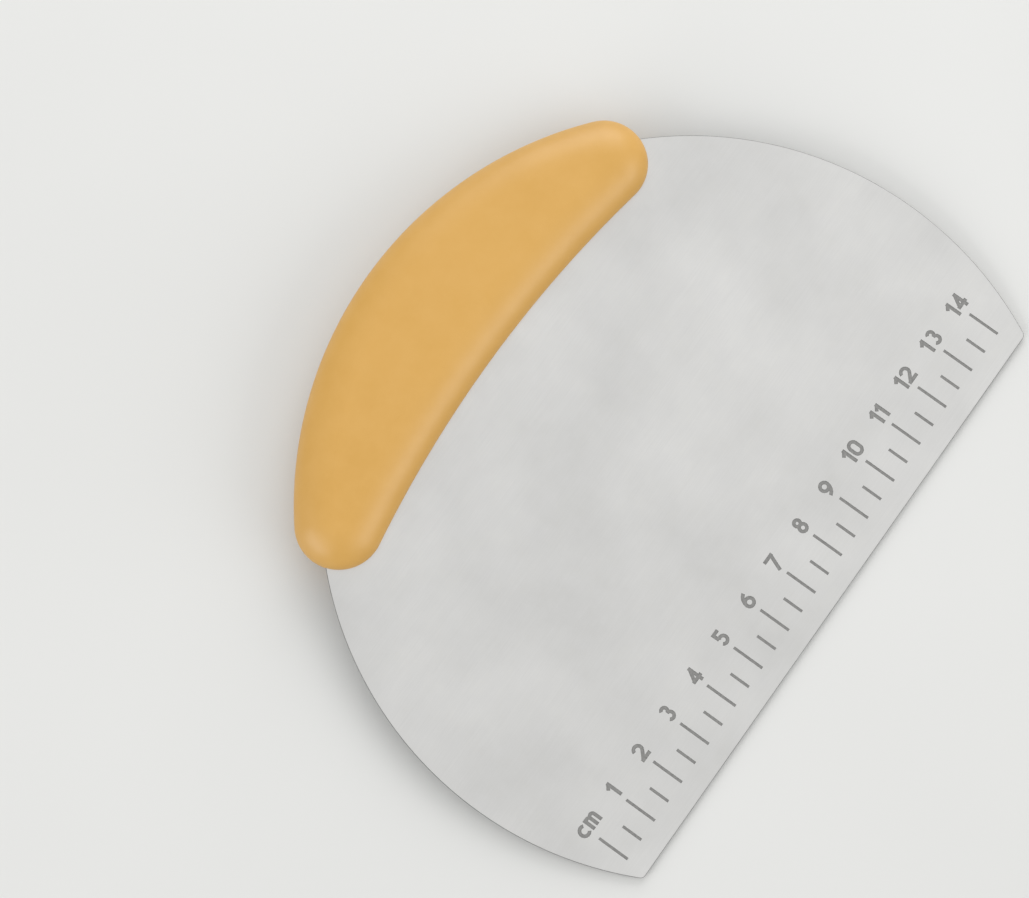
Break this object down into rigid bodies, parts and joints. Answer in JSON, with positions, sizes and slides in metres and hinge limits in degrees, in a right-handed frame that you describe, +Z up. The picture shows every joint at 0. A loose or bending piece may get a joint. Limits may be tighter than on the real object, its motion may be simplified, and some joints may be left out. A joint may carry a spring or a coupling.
{
  "type": "bench scraper",
  "caption": "Half-moon dough and bench scraper: a round stainless sheet blade with a straight scraping edge and etched centimetre scale, held in a curved moulded handle.",
  "frame": {"origin": "on the bench under the middle of the scraper's box, as it lies on the rim of its straight edge and the underside of its handle", "axes": "+X along the straight edge, in the direction the scale counts; +Y from the straight edge towards the handle; +Z up"},
  "size_m": [0.163, 0.1246, 0.0153],
  "materials": {
    "blade_steel": "satin stainless sheet with a fine, faintly cloudy grain",
    "handle_plastic": "warm yellow moulded plastic with a fine matte spark texture",
    "pin_steel": "ground dowel pin"
  },
  "bodies": {
    "root": {"blade": "blade_steel", "front_shell": "handle_plastic", "back_shell": "handle_plastic", "locking_pin_1": "pin_steel", "locking_pin_2": "pin_steel", "locking_pin_3": "pin_steel", "locking_pin_4": "pin_steel"}
  },
  "joints": []
}
